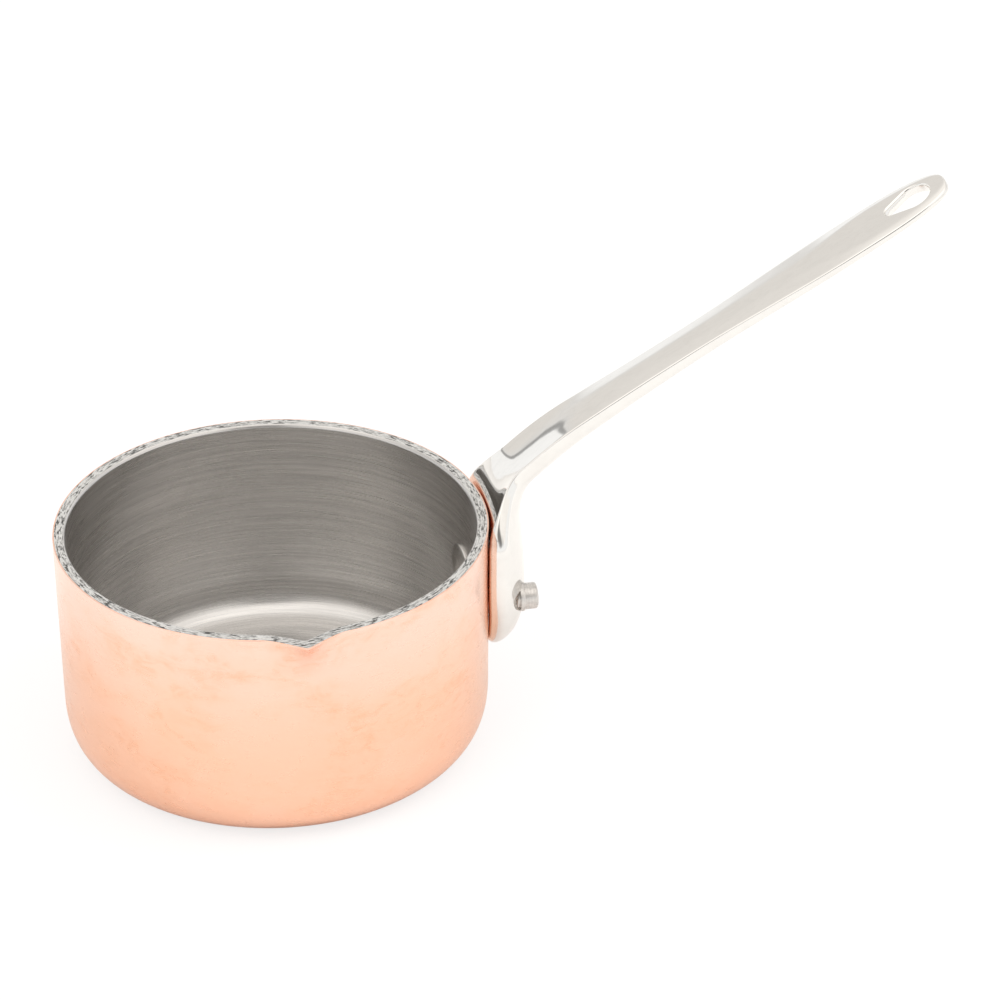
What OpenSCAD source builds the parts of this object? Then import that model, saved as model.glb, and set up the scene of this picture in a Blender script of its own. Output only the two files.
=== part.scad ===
// Small copper saucepan: clad body with a pouring lip, cast steel handle and two rivets.
// Millimetres. The origin is the centre of the pan's flat base, +Z is up,
// the handle runs out along +X and the pouring lip points to -Y.

/* [Pan body] */
// Outer radius at the rim
rim_r = 45; // [44.9:0.1:46]
// Outer radius just above the rounded corner
wall_r = 44.75; // [44:0.05:44.9]
// Height of the pan
pan_h = 49.3; // [44:0.1:60]
// Width of the rounded corner at the base
corner_w = 10.6; // [8:0.1:14]
// Height of the rounded corner at the base
corner_h = 12.1; // [8:0.1:14]
// Squareness of the corner, 2 is an ellipse
corner_power = 2.6; // [2:0.1:3]

/* [Cladding] */
// Thickness of the outer copper layer
copper_t = 0.35; // [0.2:0.05:0.8]
// Thickness of the aluminium core
core_t = 1.85; // [1:0.05:2.5]
// Thickness of the steel lining
lining_t = 0.5; // [0.3:0.05:1]
// Depth of the bevel on the lining's upper edge
bevel_h = 0.6; // [0.3:0.1:1]

/* [Pouring lip] */
// How far the lip's tip stands out from the rim
lip_out = 4; // [2:0.1:6]
// The same on the inside of the wall
lip_in = 3.1; // [1.5:0.1:5]
// Half of the angle that the lip spans
lip_half_angle = 11; // [8:0.5:16]
// Height of the wall that the lip is drawn from
lip_h = 9; // [6:0.5:14]
// Sharpness of the lip seen from above, 1 is a plain V
lip_power = 1.6; // [1:0.1:2.5]

/* [Handle line] */
// Height of the foot's lowest point
foot_z = 16.2; // [15:0.1:20]
// Height at which the handle starts to leave the wall
neck_z = 46.3; // [44:0.1:48]
// Bend radius of the neck's tight part
neck_r = 17; // [15:0.5:22]
// Slope of the handle at the end of the tight part
neck_slope = 42; // [38:1:50]
// Bend radius of the long sweep into the stem
sweep_r = 85; // [60:5:120]
// Slope of the straight stem
stem_slope = 30.7; // [25:0.1:35]
// Length of the straight stem up to the tip
stem_len = 89.4; // [75:0.1:110]

/* [Handle section] */
// Half of the foot's width
foot_half = 14.6; // [13:0.1:16]
// Half of the neck's width
neck_half = 6.3; // [5.5:0.1:7]
// Half of the stem's width at its narrowest
waist_half = 5.3; // [4.5:0.1:6]
// Half of the width at the hanging eye
eye_half = 7.05; // [6.5:0.05:8]
// Thickness of the foot at its edge
foot_edge_t = 1.9; // [1.5:0.1:2.5]
// Thickness of the foot along its middle
foot_mid_t = 8.1; // [7:0.1:9]
// Rounding of the foot's inner edge, beside the wall
edge_round = 3; // [1:0.1:3.2]
// Height of the stem's side face at the neck
side_neck_t = 2.8; // [2:0.1:3.2]
// Height of the stem's side face at the tip
side_tip_t = 1.1; // [0.9:0.1:1.5]
// Thickness of the stem at the neck
stem_neck_t = 6; // [5:0.1:6.5]
// Thickness of the stem at the tip
stem_tip_t = 2.3; // [2:0.1:3]
// How far the crowned top stands above its edges
crown = 0.4; // [0.2:0.05:0.5]
// Depth of the hollow in the neck's upper face
neck_dish = 0.7; // [0.2:0.1:1]
// Half of the flat strip along the stem's top
strip_half = 1.6; // [1:0.1:3]

/* [Hanging eye] */
// Distance from the handle's tip to the centre of the eye's round end
eye_from_tip = 7.4; // [7:0.1:9]
// Radius of the eye's round end
eye_r = 3.65; // [3:0.05:3.8]
// Radius of the eye's narrow end
eye_small_r = 1.7; // [1.2:0.1:2.5]
// Distance between the two end radii
eye_len = 4.9; // [3:0.1:8]

/* [Rivets] */
// Distance between the two rivets
rivet_gap = 15.2; // [13:0.2:17]
// Height of the rivets above the base
rivet_z = 29.9; // [28:0.1:33]
// Radius of the rivet's shank
shank_r = 2.3; // [2:0.05:2.5]
// Radius of the rivet's plain outer end
end_r = 2.8; // [2.5:0.05:3]
// Distance from the pan's axis to the rivet's outer end
end_x = 54.5; // [54:0.1:56]
// Radius of the collar under the outer end
collar_r = 3.08; // [2.9:0.02:3.3]
// Thickness of the collar
collar_t = 1; // [0.6:0.1:1.3]
// Distance from the pan's axis to the seat cut for the collar
seat_x = 50.7; // [49:0.1:51.2]
// Radius of the rivet's head inside the pan
head_r = 4.6; // [4:0.1:5.5]
// How far the head stands in from the lining
head_h = 1.5; // [1:0.1:2]
// Height of the dome on the head
head_dome = 1.1; // [0.5:0.1:1.5]
// Rounding of the rivet's outer end
end_round = 0.5; // [0.2:0.1:0.8]

/* [Hidden] */
$fn = 128;

// Corner resolution of the pan's profile
corner_steps = 10;
// Small overlap that keeps cutting shapes clear of the faces they cut
clear = 1;
// Clearance between the foot and the wall it stands against
foot_gap = 0.05;
// Clearance around a rivet's shank, and around a collar in its seat
shank_gap = 0.05;
seat_gap = 0.15;
// Half of the depth of the cut that makes the hanging eye
eye_cut = 8;

// Layer boundaries, measured in from the outer surface
core_off = copper_t;
lining_off = copper_t + core_t;
inner_off = copper_t + core_t + lining_t;

// Outer radius of the wall, moved in by off, at height z above the corner
function wall_at(z, off) =
    wall_r - off + (rim_r - wall_r) * (z - corner_h) / (pan_h - corner_h);

// Rounded corner of the body, moved in by off, from the base up to the wall
function corner(off) = [for (i = [0:corner_steps])
    let (t = 90 * i / corner_steps,
        x = pow(max(sin(t), 0), 2 / corner_power),
        y = pow(max(cos(t), 0), 2 / corner_power))
    [wall_r - corner_w + (corner_w - off) * (i == corner_steps ? 1 : x),
        corner_h - (corner_h - off) * (i == corner_steps ? 0 : y)]];

// The solid of revolution inside the surface moved in by off
module body_fill(off, top) {
    rotate_extrude()
        polygon(concat([[0, off]], corner(off), [[wall_at(top, off), top], [0, top]]));
}

// The lining's bevel leaves a thin land beside the core
bevel_w = lining_t * 0.85;

// Upper edge of a layer from its outer side to its inner side, as height, depth
// into the wall and extra move inwards
function rim_edge(a, b, bevel) = concat(
    [[pan_h, a, 0]],
    bevel > 0 ? [[pan_h, b, -bevel_w], [pan_h - bevel, b, 0]] : [[pan_h, b, 0]]);

// One layer of the clad body without its lip
module layer_ring(a, b, bevel) {
    edge = rim_edge(a, b, bevel);
    inner = corner(b);
    rotate_extrude()
        polygon(concat([[0, a]], corner(a),
            [for (e = edge) [wall_at(e[0], e[1]) - e[2], e[0]]],
            [for (i = [corner_steps:-1:0]) inner[i]],
            [[0, b]]));
}

// How far the lip stands out, as a share, at an angle from its middle
tip_soft = 0.05;
function lip_share(angle) =
    let (u = min(abs(angle) / lip_half_angle, 1), v = sqrt(u * u + tip_soft * tip_soft * (1 - u * u)))
    pow(max(1 - v, 0), lip_power);
// How much of the lip is left at a depth below the rim
function lip_fall(z) = pow(max(1 - (pan_h - z) / lip_h, 0), 1.5);
// Outward shift of a layer moved in by off
function lip_shift(off, angle, z) =
    (lip_out + (lip_in - lip_out) * off / inner_off) * lip_share(angle) * lip_fall(z)
        / lip_share(0);

lip_rows = 6;
lip_z0 = pan_h - lip_h;
// The lip piece reaches a little way into the wall around its space, and is
// thinner than the wall by this much on each side
lip_root = 0.8;
lip_inset = 0.015;
// The lip's angles, closer together near its tip
lip_steps = 8;
lip_angles = concat([-lip_half_angle - lip_root],
    [for (i = [-lip_steps:lip_steps])
        lip_half_angle * sign(i) * pow(abs(i) / lip_steps, 1.35)],
    [lip_half_angle + lip_root]);
lip_heights = concat([lip_z0 - lip_root],
    [for (i = [0:lip_rows]) lip_z0 + (lip_h - clear) * i / lip_rows]);

// Section of one layer through the lip at an angle, as radius and height
function lip_section(a, b, bevel, angle) =
    let (edge = rim_edge(a, b, bevel), last = len(lip_heights) - 1)
    concat(
        [for (z = lip_heights) [wall_at(z, a) + lip_shift(a, angle, z) - lip_inset, z]],
        [for (e = edge) [wall_at(e[0], e[1]) - e[2] + lip_shift(e[1], angle, e[0])
            + (e[1] == a ? -lip_inset : lip_inset), e[0]]],
        [for (i = [last:-1:0])
            let (z = lip_heights[i])
            [wall_at(z, b) + lip_shift(b, angle, z) + lip_inset, z]]);

// Triangles that join rings of m points, with both ends closed
function loft_faces(rings, m) = concat(
    [[for (j = [m - 1:-1:0]) j]],
    [for (i = [0:rings - 2], j = [0:m - 1])
        let (k = (j + 1) % m) [i * m + j, (i + 1) * m + k, (i + 1) * m + j]],
    [for (i = [0:rings - 2], j = [0:m - 1])
        let (k = (j + 1) % m) [i * m + j, i * m + k, (i + 1) * m + k]],
    [[for (j = [0:m - 1]) (rings - 1) * m + j]]);

// The piece of a layer that holds the lip
module lip_piece(a, b, bevel) {
    sections = [for (t = lip_angles) lip_section(a, b, bevel, t)];
    m = len(sections[0]);
    points = [for (i = [0:len(lip_angles) - 1], p = sections[i])
        [p[0] * sin(lip_angles[i]), -p[0] * cos(lip_angles[i]), p[1]]];
    polyhedron(points, loft_faces(len(lip_angles), m), convexity = 6);
}

// The space cleared in a layer for its lip piece
module lip_space() {
    reach = rim_r + 10;
    half = reach * tan(lip_half_angle);
    translate([0, 0, lip_z0])
        linear_extrude(lip_h + clear)
            polygon([[0, 0], [-half, -reach], [half, -reach]]);
}

// Both rivet positions, for what is made twice
module at_rivets() {
    for (side = [-1, 1])
        translate([0, side * rivet_gap / 2, rivet_z])
            rotate([0, 90, 0])
                children();
}

// One layer of the clad body between two depths
module layer(a, b, bevel = 0) {
    difference() {
        union() {
            difference() {
                layer_ring(a, b, bevel);
                lip_space();
            }
            lip_piece(a, b, bevel);
        }
        at_rivets()
            cylinder(r = shank_r + shank_gap, h = rim_r + 5);
    }
}

// Length of the handle's line up to the end of each of its parts
foot_len = neck_z - foot_z;
neck_end = foot_len + neck_r * (90 - neck_slope) * PI / 180;
sweep_end = neck_end + sweep_r * (neck_slope - stem_slope) * PI / 180;
line_end = sweep_end + stem_len;

// The wall leans out a little, and the foot's inner face leans with it
foot_lean = (rim_r - wall_r) / (pan_h - corner_h);
foot_x = wall_at(neck_z, 0) + foot_gap;
neck_end_x = foot_x + neck_r * (1 - sin(neck_slope));
neck_end_z = neck_z + neck_r * cos(neck_slope);
sweep_end_x = neck_end_x + sweep_r * (sin(neck_slope) - sin(stem_slope));
sweep_end_z = neck_end_z + sweep_r * (cos(stem_slope) - cos(neck_slope));

// Slope of the handle's line at a length along it
function slope_at(l) =
    l < foot_len ? 90
    : l < neck_end ? 90 - (l - foot_len) / neck_r * 180 / PI
    : l < sweep_end ? neck_slope - (l - neck_end) / sweep_r * 180 / PI
    : stem_slope;
// Point on the handle's line: the middle of its inner and top face
function line_at(l) =
    let (a = slope_at(l))
    l < foot_len ? [foot_x - (foot_len - l) * foot_lean, foot_z + l]
    : l < neck_end ? [foot_x + neck_r * (1 - sin(a)), neck_z + neck_r * cos(a)]
    : l < sweep_end ? [neck_end_x + sweep_r * (sin(neck_slope) - sin(a)),
        neck_end_z + sweep_r * (cos(a) - cos(neck_slope))]
    : [sweep_end_x + (l - sweep_end) * cos(stem_slope),
        sweep_end_z + (l - sweep_end) * sin(stem_slope)];

// Lengths between which the section changes along the handle
narrow_from = foot_len - 2.6;
narrow_to = foot_len + 14.9;
thin_from = foot_len - 17;
thin_to = foot_len + 17;
thin_run = 90;
waist_from = foot_len + 13;
waist_to = foot_len + 53;
flare_from = sweep_end + 27;
flare_to = line_end - 24;
side_full = foot_len + 21;
leave_from = foot_len - 2;
leave_to = foot_len + 9;

// Smooth step from 0 to 1 between two lengths
function blend(l, from, to) =
    let (t = min(max((l - from) / (to - from), 0), 1)) t * t * (3 - 2 * t);
function mix(a, b, t) = a + (b - a) * t;

// Round outline of the foot's lower end and of the tip
foot_round = foot_half * 1.49;
tip_round = 20;
function foot_end(l) =
    let (t = max(1 - l / foot_round, 0)) sqrt(1 - t * t);
function tip_end(l) =
    let (t = max(1 - (line_end - l) / tip_round, 0)) pow(1 - pow(t, 2.6), 1 / 3);

// Half-width of the stem, from the neck through its waist to the eye
function stem_half(l) =
    mix(mix(neck_half, waist_half, blend(l, waist_from, waist_to)),
        eye_half, blend(l, flare_from, flare_to));
// Half-width of the handle
function half_at(l) = foot_end(l) * tip_end(l)
    * mix(foot_half, stem_half(l), blend(l, narrow_from, narrow_to));
// Height of the top above its edges: flat at the foot, hollow at the neck, then crowned
function crown_at(l) = crown * blend(l, foot_len + 20, sweep_end + 10)
    - neck_dish * blend(l, foot_len + 2, foot_len + 11) * (1 - blend(l, foot_len + 16, sweep_end + 4));
// Half of the flat part of the top
function strip_at(l) =
    let (h = half_at(l), s = mix(0.85, strip_half / waist_half, blend(l, foot_len + 8, sweep_end)),
        e = mix(s, 0.8, blend(l, line_end - 36, line_end - 16)))
    h * e;
// Height of the side face
function side_at(l) =
    l < side_full ? mix(foot_edge_t, side_neck_t, blend(l, foot_len, side_full))
    : mix(side_neck_t, side_tip_t, (l - side_full) / (line_end - side_full));
// Thickness along the middle
function thick_at(l) =
    let (f = max(1 - l / 13, 0),
        foot = mix(foot_edge_t + 0.2, foot_mid_t, sqrt(1 - f * f)),
        stem = mix(stem_neck_t, stem_tip_t, min(max((l - thin_to) / thin_run, 0), 1)))
    mix(foot, stem, blend(l, thin_from, thin_to));
// Fullness of the rounded outer face, and the number of its facets
dome_power = 2.4;
under_steps = 12;

// How closely the inner face follows the wall: fully at the foot, not at all past the neck
function fit_share(l) = 1 - blend(l, leave_from, leave_to);
// How far the inner face reaches back to the round wall at a distance y beside the line
function fit_at(l, y) = let (r = line_at(l)[0]) fit_share(l) * (r - sqrt(r * r - y * y));
// The rounding leaves the rest of the side face straight
side_share = 0.6;
// Rounding of the inner edge, less where the foot's end is too small for it
function round_at(l) =
    min(edge_round * fit_share(l), fit_at(l, half_at(l)) + side_share * side_at(l), half_at(l) / 2);
// Depth of the inner and top face below the line
function top_at(l, y) =
    let (h = half_at(l), r = round_at(l), v = r > 0 ? min(max(1 - (h - y) / r, 0), 1) : 0)
    r * (1 - sqrt(1 - v * v)) - fit_at(l, y) - crown_at(l) * min((h - y) / (h - strip_at(l)), 1);
// Places across the top face, from its middle to one edge
strip_steps = 4;
strip_clear = 1.15;
function across(l) =
    let (h = half_at(l), k = max(round_at(l), (h - strip_at(l)) / 4),
        s = min(strip_at(l), h - strip_clear * k))
    concat([for (i = [0:strip_steps]) s * i / strip_steps], [h - k, h - k / 2, h - k / 8, h]);

// Section of the handle as [sideways, depth below the line]
function handle_section(l) =
    let (h = half_at(l), e = side_at(l), ys = across(l), n = len(ys) - 1,
        t = max(thick_at(l) - max(crown_at(l), 0), e + 0.15))
    concat(
        [for (i = [n:-1:1]) [-ys[i], top_at(l, ys[i])]],
        [for (i = [0:n]) [ys[i], top_at(l, ys[i])]],
        [for (i = [0:under_steps])
            let (w = cos(180 * i / under_steps))
            [h * w, mix(t, e, pow(abs(w), dome_power))]]);

// Rings along the handle, closer together on its round ends
end_cut = 0.04;
function ease(i, n) = 1 - cos(90 * i / n);
foot_rings = 13;
bend_rings = 18;
stem_rings = 15;
tip_rings = 15;
handle_lengths = concat(
    [for (i = [0:foot_rings]) end_cut + (foot_round - end_cut) * ease(i, foot_rings)],
    [for (i = [1:bend_rings]) mix(foot_round, sweep_end, i / bend_rings)],
    [for (i = [1:stem_rings]) mix(sweep_end, line_end - tip_round, i / stem_rings)],
    [for (i = [tip_rings - 1:-1:0])
        line_end - end_cut - (tip_round - end_cut) * ease(i, tip_rings)]);

module handle_blank() {
    sections = [for (l = handle_lengths) handle_section(l)];
    m = len(sections[0]);
    points = [for (i = [0:len(handle_lengths) - 1], p = sections[i])
        let (l = handle_lengths[i], a = slope_at(l), c = line_at(l))
        [c[0] + p[1] * sin(a), p[0], c[1] - p[1] * cos(a)]];
    polyhedron(points, loft_faces(len(handle_lengths), m), convexity = 8);
}

// Frame on the stem's top face with its origin under the eye's round end
module at_eye() {
    c = line_at(line_end - eye_from_tip);
    translate([c[0], 0, c[1]])
        rotate([0, -stem_slope, 0])
            children();
}

// Egg outline of the eye: two round ends and their common tangents
module eye_outline() {
    lean = asin((eye_r - eye_small_r) / eye_len);
    circle(r = eye_r);
    translate([-eye_len, 0])
        circle(r = eye_small_r);
    polygon([
        [-eye_r * sin(lean), eye_r * cos(lean)],
        [-eye_r * sin(lean), -eye_r * cos(lean)],
        [-eye_len - eye_small_r * sin(lean), -eye_small_r * cos(lean)],
        [-eye_len - eye_small_r * sin(lean), eye_small_r * cos(lean)]]);
}

module copper_shell() {
    color([0.96, 0.72, 0.56])
        layer(0, core_off);
}

module aluminium_core() {
    color([0.72, 0.73, 0.74])
        layer(core_off, lining_off);
}

module steel_lining() {
    color([0.80, 0.79, 0.78])
        layer(lining_off, inner_off, bevel_h);
}

module handle() {
    color([0.85, 0.84, 0.81])
        difference() {
            handle_blank();
            at_eye()
                translate([0, 0, -eye_cut])
                    linear_extrude(2 * eye_cut)
                        eye_outline();
            at_rivets()
                cylinder(r = shank_r + shank_gap, h = rim_r + 20);
            at_rivets()
                translate([0, 0, seat_x])
                    cylinder(r = collar_r + seat_gap, h = 10);
        }
}

// A rivet: a low domed head inside the pan, the shank and a plain outer end
module rivet(side) {
    y = side * rivet_gap / 2;
    wall = wall_at(rivet_z, inner_off);
    turn = asin(y / wall);
    dome_r = (head_r * head_r + head_dome * head_dome) / (2 * head_dome);
    color([0.70, 0.68, 0.66])
        union() {
            intersection() {
                body_fill(inner_off, pan_h);
                rotate([0, 0, turn])
                    translate([wall - head_h, 0, rivet_z])
                        rotate([0, 90, 0])
                            rotate_extrude()
                                polygon(concat(
                                    [for (i = [0:6])
                                        let (t = asin(head_r / dome_r) * i / 6)
                                        [dome_r * sin(t), dome_r * (1 - cos(t))]],
                                    [[head_r, 3], [0, 3]]));
            }
            translate([wall * cos(turn) - head_h / 2, y, rivet_z])
                rotate([0, 90, 0])
                    cylinder(r = shank_r, h = seat_x + collar_t - wall * cos(turn) + head_h / 2 + 0.5);
            translate([0, y, rivet_z])
                rotate([0, 90, 0])
                    rotate_extrude()
                        polygon(concat(
                            [[0, seat_x + collar_t], [end_r, seat_x + collar_t]],
                            [for (i = [0:4])
                                [end_r - end_round * (1 - cos(22.5 * i)),
                                    end_x - end_round * (1 - sin(22.5 * i))]],
                            [[0, end_x]]));
        }
}

module rivet_near() {
    rivet(-1);
}

module rivet_far() {
    rivet(1);
}

// A collar: the thin ring that seats the rivet's outer end on the handle
module collar(side) {
    color([0.62, 0.60, 0.58])
        translate([seat_x, side * rivet_gap / 2, rivet_z])
            rotate([0, 90, 0])
                difference() {
                    cylinder(r = collar_r, h = collar_t);
                    translate([0, 0, -clear])
                        cylinder(r = shank_r, h = collar_t + 2 * clear);
                }
}

module collar_near() {
    collar(-1);
}

module collar_far() {
    collar(1);
}

copper_shell();
aluminium_core();
steel_lining();
handle();
rivet_near();
rivet_far();
collar_near();
collar_far();
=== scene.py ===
import math

import bpy
import numpy as np
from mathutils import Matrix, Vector


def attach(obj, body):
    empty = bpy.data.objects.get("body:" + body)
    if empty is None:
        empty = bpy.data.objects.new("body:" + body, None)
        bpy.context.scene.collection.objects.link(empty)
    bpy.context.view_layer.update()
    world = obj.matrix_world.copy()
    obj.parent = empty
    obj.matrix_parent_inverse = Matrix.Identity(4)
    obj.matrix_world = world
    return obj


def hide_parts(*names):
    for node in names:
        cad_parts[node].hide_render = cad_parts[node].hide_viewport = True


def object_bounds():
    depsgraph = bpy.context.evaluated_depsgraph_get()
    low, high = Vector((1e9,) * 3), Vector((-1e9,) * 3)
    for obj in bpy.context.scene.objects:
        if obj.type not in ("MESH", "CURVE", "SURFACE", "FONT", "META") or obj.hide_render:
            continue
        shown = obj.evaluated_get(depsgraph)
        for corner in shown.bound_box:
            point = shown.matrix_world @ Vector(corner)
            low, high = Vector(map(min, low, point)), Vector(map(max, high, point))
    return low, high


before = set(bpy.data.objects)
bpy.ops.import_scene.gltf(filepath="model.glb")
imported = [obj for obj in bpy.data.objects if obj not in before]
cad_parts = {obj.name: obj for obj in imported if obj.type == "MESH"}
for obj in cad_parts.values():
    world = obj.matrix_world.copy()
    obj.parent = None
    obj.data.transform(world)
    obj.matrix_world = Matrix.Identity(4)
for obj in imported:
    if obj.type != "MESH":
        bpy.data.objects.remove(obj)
cad_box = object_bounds()
scene = bpy.context.scene
MM = 0.001
# Edges sharper than these angles, in degrees, are shaded as edges
PAN_SHARP, HANDLE_SHARP, TURNED_SHARP = 35, 32, 30

# ---------------------------------------------------------------- sizes in mm, as in the CAD source
RIM_R, WALL_R, PAN_H = 45.0, 44.75, 49.3
CORNER_W, CORNER_H, CORNER_POWER = 10.6, 12.1, 2.6
COPPER_T, CORE_T, LINING_T, BEVEL_H = 0.35, 1.85, 0.5, 0.6
LIP_OUT, LIP_IN, LIP_HALF, LIP_H, LIP_POWER, TIP_SOFT = 4.0, 3.1, 11.0, 9.0, 1.6, 0.05
FOOT_Z, NECK_Z, NECK_R, NECK_SLOPE, SWEEP_R = 16.2, 46.3, 17.0, 42.0, 85.0
STEM_SLOPE, STEM_LEN = 30.7, 89.4
FOOT_HALF, NECK_HALF, WAIST_HALF, EYE_HALF = 14.6, 6.3, 5.3, 7.05
FOOT_EDGE_T, FOOT_MID_T, SIDE_NECK_T, SIDE_TIP_T = 1.9, 8.1, 2.8, 1.1
STEM_NECK_T, STEM_TIP_T, CROWN, STRIP_HALF, NECK_DISH = 6.0, 2.3, 0.4, 1.6, 0.7
EDGE_ROUND, SIDE_SHARE, DOME_POWER = 3.0, 0.6, 2.4
EYE_FROM_TIP, EYE_R, EYE_SMALL_R, EYE_LEN = 7.4, 3.65, 1.7, 4.9
RIVET_GAP, RIVET_Z, SHANK_R, END_R, END_X = 15.2, 29.9, 2.3, 2.8, 54.5
COLLAR_R, COLLAR_T, SEAT_X = 3.08, 1.0, 50.7
HEAD_R, HEAD_H, HEAD_DOME, END_ROUND = 4.6, 1.5, 1.1, 0.5
FOOT_GAP, SHANK_GAP, SEAT_GAP = 0.05, 0.05, 0.15
CORE_OFF, LINING_OFF = COPPER_T, COPPER_T + CORE_T
INNER_OFF = COPPER_T + CORE_T + LINING_T
BEVEL_W = LINING_T * 0.85


# ---------------------------------------------------------------- mesh helpers
def add_mesh(name, points, faces, material, sharp=None):
    """A mesh object from points in millimetres, smooth shaded, with edges over the angle sharp."""
    data = bpy.data.meshes.new(name)
    data.from_pydata([tuple(p) for p in np.asarray(points, float) * MM], [], faces)
    data.validate()
    data.shade_smooth()
    if sharp:
        data.set_sharp_from_angle(angle=math.radians(sharp))
    data.materials.append(material)
    obj = bpy.data.objects.new(name, data)
    scene.collection.objects.link(obj)
    return obj


def ring_faces(rings, m, closed_ring=True, closed_loop=False):
    """Quads between consecutive rings of m points."""
    faces = []
    for i in range(rings if closed_loop else rings - 1):
        a, b = i * m, ((i + 1) % rings) * m
        for j in range(m if closed_ring else m - 1):
            k = (j + 1) % m
            faces.append((a + j, a + k, b + k, b + j))
    return faces


def closed_skin(rings, m):
    """The faces of rings of m points that face outwards, with both ends closed."""
    ends = [tuple(range(m)), tuple(range((rings - 1) * m, rings * m))[::-1]]
    return [f[::-1] for f in ring_faces(rings, m)] + ends


def cut(obj, cutters, sharp):
    """Takes the cutters away from obj for good, and removes them."""
    for cutter in cutters:
        mod = obj.modifiers.new("cut", "BOOLEAN")
        mod.operation, mod.solver, mod.object = "DIFFERENCE", "EXACT", cutter
        bpy.context.view_layer.update()
        made = bpy.data.meshes.new_from_object(
            obj.evaluated_get(bpy.context.evaluated_depsgraph_get()))
        obj.modifiers.clear()
        old, name = obj.data, obj.data.name
        obj.data = made
        bpy.data.meshes.remove(old)
        made.name = name
    for cutter in cutters:
        old = cutter.data
        bpy.data.objects.remove(cutter)
        bpy.data.meshes.remove(old)
    obj.data.shade_smooth()
    obj.data.set_sharp_from_angle(angle=math.radians(sharp))
    return obj


def lathe(name, profile, steps, place, material):
    """A closed solid turned about its own axis. profile is (radius, height) from one end of the axis
    to the other, and place turns local (x, y, height) points into the row frame."""
    turns = np.linspace(0, 2 * math.pi, steps, endpoint=False)
    rows, faces = [], []
    for r, h in profile:
        if r > 1e-9:
            rows.append(np.stack([r * np.cos(turns), r * np.sin(turns), np.full(steps, h)], 1))
        else:
            rows.append(np.array([[0.0, 0.0, h]]))
    starts = np.cumsum([0] + [len(r) for r in rows])
    for i in range(len(rows) - 1):
        a, b = starts[i], starts[i + 1]
        for j in range(steps):
            k = (j + 1) % steps
            if len(rows[i]) == 1:
                faces.append((a, b + j, b + k))
            elif len(rows[i + 1]) == 1:
                faces.append((a + j, b, a + k))
            else:
                faces.append((a + j, b + j, b + k, a + k))
    return add_mesh(name, place(np.concatenate(rows)), faces, material, TURNED_SHARP)


def hand_over(piece, node):
    """Lets a finished piece stand for a CAD node."""
    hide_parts(node)
    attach(piece, "root")


# ---------------------------------------------------------------- shape functions
CORNER_STEPS = 30


def wall_at(z, off):
    """Radius of the wall at height z, moved in by off."""
    return WALL_R - off + (RIM_R - WALL_R) * (z - CORNER_H) / (PAN_H - CORNER_H)


def corner_points(off):
    """The rounded corner as (radius, height), from the base up to the wall, moved in by off."""
    t = np.radians(np.linspace(0, 90, CORNER_STEPS + 1))
    x = np.clip(np.sin(t), 0, 1) ** (2 / CORNER_POWER)
    y = np.clip(np.cos(t), 0, 1) ** (2 / CORNER_POWER)
    return np.stack([WALL_R - CORNER_W + (CORNER_W - off) * x, CORNER_H - (CORNER_H - off) * y], 1)


def lip_share(angle):
    """How far the lip stands out, as a share, at an angle from its middle."""
    u = np.minimum(np.abs(angle) / LIP_HALF, 1)
    v = np.sqrt(u * u + TIP_SOFT ** 2 * (1 - u * u))
    return np.maximum(1 - v, 0) ** LIP_POWER


def lip_shift(off, angle, z):
    """Outward shift that draws the lip, in a surface moved in by off."""
    fall = np.maximum(1 - (PAN_H - z) / LIP_H, 0) ** 1.5
    return mix(LIP_OUT, LIP_IN, off / INNER_OFF) * lip_share(angle) * fall / lip_share(0.0)


def blend(l, start, end):
    """Smooth step from 0 to 1 between two lengths."""
    t = np.clip((l - start) / (end - start), 0, 1)
    return t * t * (3 - 2 * t)


def mix(a, b, t):
    return a + (b - a) * t


FOOT_LEN = NECK_Z - FOOT_Z
NECK_END = FOOT_LEN + NECK_R * math.radians(90 - NECK_SLOPE)
SWEEP_END = NECK_END + SWEEP_R * math.radians(NECK_SLOPE - STEM_SLOPE)
LINE_END = SWEEP_END + STEM_LEN
FOOT_LEAN = (RIM_R - WALL_R) / (PAN_H - CORNER_H)
FOOT_X = wall_at(NECK_Z, 0) + FOOT_GAP
FOOT_ROUND, TIP_ROUND = FOOT_HALF * 1.49, 20.0
END_CUT = 0.04
# Lengths along the handle between which its section changes
NARROW_FROM, NARROW_TO = FOOT_LEN - 2.6, FOOT_LEN + 14.9
THIN_FROM, THIN_TO, THIN_RUN = FOOT_LEN - 17, FOOT_LEN + 17, 90
WAIST_FROM, WAIST_TO = FOOT_LEN + 13, FOOT_LEN + 53
FLARE_FROM, FLARE_TO = SWEEP_END + 27, LINE_END - 24
LEAVE_FROM, LEAVE_TO = FOOT_LEN - 2, FOOT_LEN + 9
CROWN_FROM, CROWN_TO = FOOT_LEN + 20, SWEEP_END + 10
DISH_FROM, DISH_FULL, DISH_FADE, DISH_TO = FOOT_LEN + 2, FOOT_LEN + 11, FOOT_LEN + 16, SWEEP_END + 4
FLAT_FROM, FLAT_TO, FLAT_WIDEN, FLAT_WIDE = FOOT_LEN + 8, SWEEP_END, LINE_END - 36, LINE_END - 16
SIDE_FULL = FOOT_LEN + 21
# Length of the foot's own rise to its full thickness
FOOT_RISE = 13
# Flat share of the top face at the foot and at the tip, and how softly it turns into the crown's slope
FLAT_FOOT, FLAT_TIP, FLAT_SOFT = 0.85, 0.8, 0.7


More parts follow.
